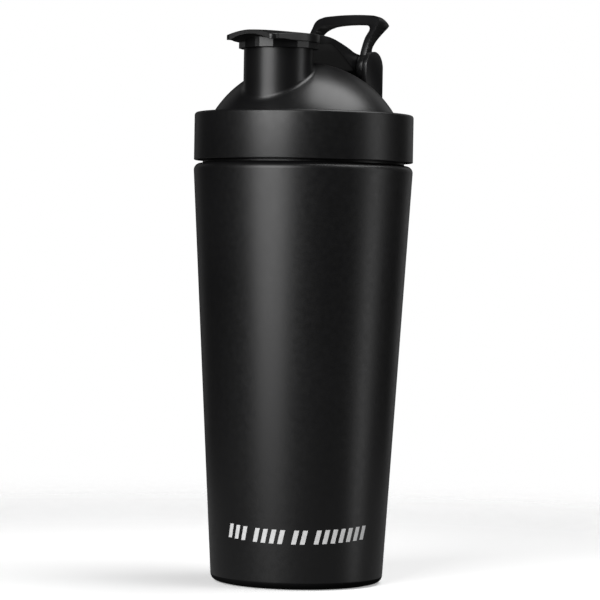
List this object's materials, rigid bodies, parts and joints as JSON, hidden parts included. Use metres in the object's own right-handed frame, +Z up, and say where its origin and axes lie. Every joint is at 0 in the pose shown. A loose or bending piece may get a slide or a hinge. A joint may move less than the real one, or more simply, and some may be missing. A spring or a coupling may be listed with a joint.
{
  "type": "protein shaker bottle",
  "caption": "Tapered double-walled steel shaker cup with screw-on domed lid, round spout, flip cap, carry loop and loose wire whisk ball",
  "frame": {"origin": "centre of the face that the bottle rests on", "axes": "+Z up along the bottle's axis, the spout lies towards -X, the hinge pin of the cap and loop lies along Y"},
  "size_m": [0.09, 0.09, 0.2358],
  "materials": {
    "powder_coat": "satin black powder coat with a very fine grain",
    "bare_steel": "brushed stainless steel",
    "lid_plastic": "satin black moulded polypropylene",
    "pad_rubber": "matt black rubber",
    "seal_silicone": "soft grey silicone"
  },
  "bodies": {
    "cup": {"outer_shell": "powder_coat", "inner_liner": "bare_steel", "base_disc": "bare_steel", "base_pad": "pad_rubber"},
    "seal": {"lid_gasket": "seal_silicone"},
    "lid": {"lid_band": "powder_coat", "lid_shell": "lid_plastic", "hinge_pin": "bare_steel"},
    "cap": {"flip_cap": "lid_plastic", "spout_plug": "seal_silicone"},
    "loop": {"carry_loop": "lid_plastic"},
    "whisk": {"whisk_ball": "bare_steel"}
  },
  "joints": [
    {"name": "lid_lift", "type": "slide", "parent": "cup", "child": "seal", "axis": [0, 0, 1], "range_m": [0, 0.1]},
    {"name": "lid_turn", "type": "hinge", "parent": "seal", "child": "lid", "pos_m": [0, 0, 0.18], "axis": [0, 0, 1], "range_deg": [0, 360]},
    {"name": "cap_flip", "type": "hinge", "parent": "lid", "child": "cap", "pos_m": [0.0265, 0, 0.2126], "axis": [0, 1, 0], "range_deg": [0, 74]},
    {"name": "loop_tilt", "type": "hinge", "parent": "lid", "child": "loop", "pos_m": [0.0265, 0, 0.2126], "axis": [0, 1, 0], "range_deg": [0, 85]},
    {"name": "whisk_slide", "type": "slide", "parent": "cup", "child": "whisk", "axis": [0, 0, 1], "range_m": [0, 0.12]}
  ]
}
